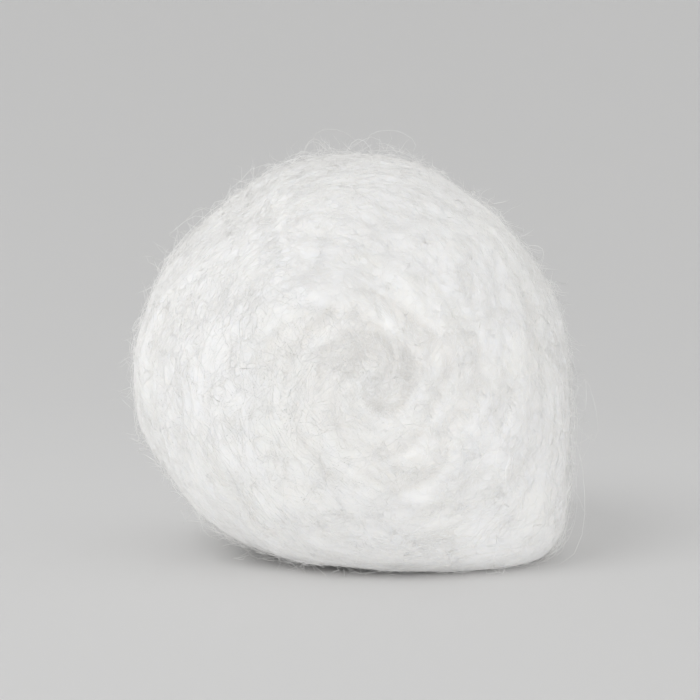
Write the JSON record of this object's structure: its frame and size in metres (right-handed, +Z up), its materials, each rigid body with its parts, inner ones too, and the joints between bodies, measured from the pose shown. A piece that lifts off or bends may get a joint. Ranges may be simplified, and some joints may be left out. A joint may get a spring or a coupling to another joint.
{
  "type": "cotton ball",
  "caption": "Soft round wad of rolled carded cotton, slightly squashed, with a flat underside and a faint coil at each end.",
  "frame": {"origin": "middle of the ball's box, at the flat that the ball rests on", "axes": "+Z up, the shortest side; +X across the ball, the longest side; the front end of the coil faces -Y"},
  "size_m": [0.03, 0.0286, 0.0275],
  "materials": {
    "cotton": "matt, soft, loose bleached fibre"
  },
  "bodies": {
    "root": {"cotton_ball": "cotton"}
  },
  "joints": []
}
